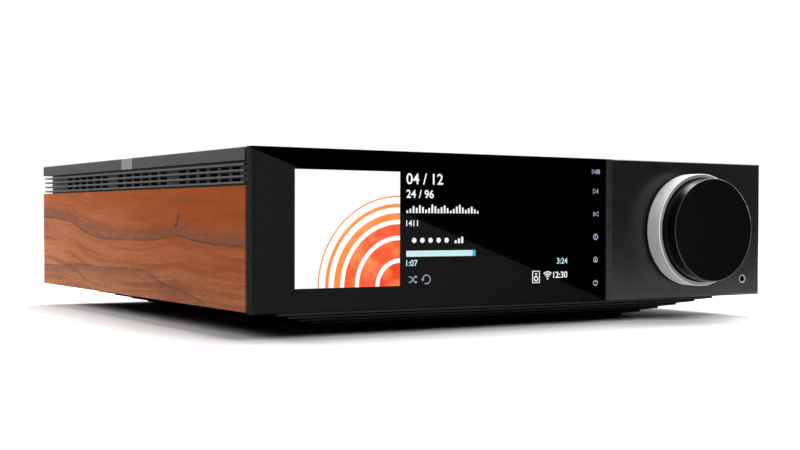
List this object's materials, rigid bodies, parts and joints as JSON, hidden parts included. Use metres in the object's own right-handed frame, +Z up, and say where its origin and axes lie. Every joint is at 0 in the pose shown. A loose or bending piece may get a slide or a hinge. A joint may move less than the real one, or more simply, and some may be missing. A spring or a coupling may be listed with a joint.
{
  "type": "streaming amplifier",
  "caption": "Low, wide desktop amplifier with a glass front and display, a large concentric rotary control, a column of keys, side vents, wooden side panels and a stepped base.",
  "frame": {"origin": "on the floor, under the middle of the whole object, knob included", "axes": "+X to the right of someone facing the front, +Y from the front to the rear, +Z up"},
  "size_m": [0.317, 0.3544, 0.089],
  "materials": {
    "black_glass": "polished dark glass",
    "black_frame": "satin black",
    "control_satin": "fine satin black anodised",
    "steel": "matt black coated sheet",
    "steel_bright": "bright",
    "display": "lit panel",
    "switch_plastic": "matt moulded",
    "circuit_board": "solder mask",
    "ring_metal": "diamond knurl, clear anodised",
    "knob_black": "satin black anodised",
    "key_black": "gloss moulded",
    "socket_metal": "plated",
    "cover_black": "fine textured black",
    "inlay_metal": "satin",
    "grille_black": "black anodised",
    "walnut": "oiled walnut veneer",
    "base_black": "satin black casting",
    "rubber": "matt",
    "rear_black": "matt black sheet",
    "gold": "plated",
    "rocker_plastic": "gloss moulded",
    "cap_red": "moulded",
    "cap_black": "moulded",
    "heat_sink": "black anodised",
    "can_metal": "bare",
    "transformer": "taped winding",
    "ribbon": "flat film cable"
  },
  "bodies": {
    "case": {"front_glass": "black_glass", "front_frame": "black_frame", "control_panel": "control_satin", "front_carrier": "steel", "lcd_module": "display", "key_switches": "switch_plastic", "control_board": "circuit_board", "selector_encoder": "switch_plastic", "volume_encoder": "switch_plastic", "headphone_socket": "socket_metal", "top_cover": "cover_black", "cover_inlays": "inlay_metal", "vent_grille_left": "grille_black", "vent_grille_right": "grille_black", "side_panel_left": "walnut", "side_panel_right": "walnut", "panel_magnets": "steel_bright", "chassis_tray": "steel", "stepped_base": "base_black", "rubber_feet": "rubber", "case_screws": "steel_bright", "rear_panel": "rear_black", "binding_posts": "gold", "line_barrels": "gold", "line_bodies": "switch_plastic", "hdmi_socket": "socket_metal", "usb_socket": "socket_metal", "network_socket": "switch_plastic", "antenna_sockets": "gold", "mains_inlet": "switch_plastic", "inlet_blades": "steel_bright", "switch_housing": "switch_plastic", "board_standoffs": "gold", "amplifier_heat_sink": "heat_sink", "output_inductors": "switch_plastic", "bulk_capacitors": "can_metal", "power_transformer": "transformer", "streaming_module": "can_metal", "ribbon_cable": "ribbon", "main_board": "circuit_board", "amplifier_board": "circuit_board", "power_board": "circuit_board"},
    "selector": {"selector_ring": "ring_metal"},
    "volume": {"volume_knob": "knob_black", "volume_shaft": "steel_bright"},
    "rocker": {"power_rocker": "rocker_plastic"},
    "play_key": {"play_key": "key_black"},
    "next_key": {"next_key": "key_black"},
    "previous_key": {"previous_key": "key_black"},
    "info_key": {"info_key": "key_black"},
    "home_key": {"home_key": "key_black"},
    "power_key": {"power_key": "key_black"},
    "washer_left_negative": {"terminal_washer_left_negative": "gold"},
    "cap_left_negative": {"terminal_cap_left_negative": "cap_black"},
    "washer_left_positive": {"terminal_washer_left_positive": "gold"},
    "cap_left_positive": {"terminal_cap_left_positive": "cap_red"},
    "washer_right_negative": {"terminal_washer_right_negative": "gold"},
    "cap_right_negative": {"terminal_cap_right_negative": "cap_black"},
    "washer_right_positive": {"terminal_washer_right_positive": "gold"},
    "cap_right_positive": {"terminal_cap_right_positive": "cap_red"}
  },
  "joints": [
    {"name": "source_select", "type": "hinge", "parent": "case", "child": "selector", "pos_m": [0.1026, -0.16715, 0.051], "axis": [0, -1, 0], "continuous": true},
    {"name": "volume_turn", "type": "hinge", "parent": "case", "child": "volume", "pos_m": [0.1026, -0.17725, 0.051], "axis": [0, -1, 0], "continuous": true},
    {"name": "mains_rocker", "type": "hinge", "parent": "case", "child": "rocker", "pos_m": [-0.1264, 0.15875, 0.064], "axis": [-1, 0, 0], "range_deg": [0, 20]},
    {"name": "play_press", "type": "slide", "parent": "case", "child": "play_key", "axis": [0, 1, 0], "range_m": [0, 0.0006], "stiffness_N_per_m": 700, "springref_m": -0.0006},
    {"name": "next_press", "type": "slide", "parent": "case", "child": "next_key", "axis": [0, 1, 0], "range_m": [0, 0.0006], "stiffness_N_per_m": 700, "springref_m": -0.0006},
    {"name": "previous_press", "type": "slide", "parent": "case", "child": "previous_key", "axis": [0, 1, 0], "range_m": [0, 0.0006], "stiffness_N_per_m": 700, "springref_m": -0.0006},
    {"name": "info_press", "type": "slide", "parent": "case", "child": "info_key", "axis": [0, 1, 0], "range_m": [0, 0.0006], "stiffness_N_per_m": 700, "springref_m": -0.0006},
    {"name": "home_press", "type": "slide", "parent": "case", "child": "home_key", "axis": [0, 1, 0], "range_m": [0, 0.0006], "stiffness_N_per_m": 700, "springref_m": -0.0006},
    {"name": "power_press", "type": "slide", "parent": "case", "child": "power_key", "axis": [0, 1, 0], "range_m": [0, 0.0006], "stiffness_N_per_m": 700, "springref_m": -0.0006},
    {"name": "clamp_left_negative", "type": "slide", "parent": "case", "child": "washer_left_negative", "axis": [0, 1, 0], "range_m": [0, 0.003]},
    {"name": "unscrew_left_negative", "type": "hinge", "parent": "washer_left_negative", "child": "cap_left_negative", "pos_m": [-0.0774, 0.17535, 0.04505], "axis": [0, 1, 0], "range_deg": [0, 1080]},
    {"name": "clamp_left_positive", "type": "slide", "parent": "case", "child": "washer_left_positive", "axis": [0, 1, 0], "range_m": [0, 0.003]},
    {"name": "unscrew_left_positive", "type": "hinge", "parent": "washer_left_positive", "child": "cap_left_positive", "pos_m": [-0.05835, 0.17535, 0.04505], "axis": [0, 1, 0], "range_deg": [0, 1080]},
    {"name": "clamp_right_negative", "type": "slide", "parent": "case", "child": "washer_right_negative", "axis": [0, 1, 0], "range_m": [0, 0.003]},
    {"name": "unscrew_right_negative", "type": "hinge", "parent": "washer_right_negative", "child": "cap_right_negative", "pos_m": [-0.0334, 0.17535, 0.04505], "axis": [0, 1, 0], "range_deg": [0, 1080]},
    {"name": "clamp_right_positive", "type": "slide", "parent": "case", "child": "washer_right_positive", "axis": [0, 1, 0], "range_m": [0, 0.003]},
    {"name": "unscrew_right_positive", "type": "hinge", "parent": "washer_right_positive", "child": "cap_right_positive", "pos_m": [-0.01435, 0.17535, 0.04505], "axis": [0, 1, 0], "range_deg": [0, 1080]}
  ],
  "couplings": [
    {"joint": "unscrew_left_negative", "follows": "clamp_left_negative", "rad_per_m": 6283.2},
    {"joint": "unscrew_left_positive", "follows": "clamp_left_positive", "rad_per_m": 6283.2},
    {"joint": "unscrew_right_negative", "follows": "clamp_right_negative", "rad_per_m": 6283.2},
    {"joint": "unscrew_right_positive", "follows": "clamp_right_positive", "rad_per_m": 6283.2}
  ]
}
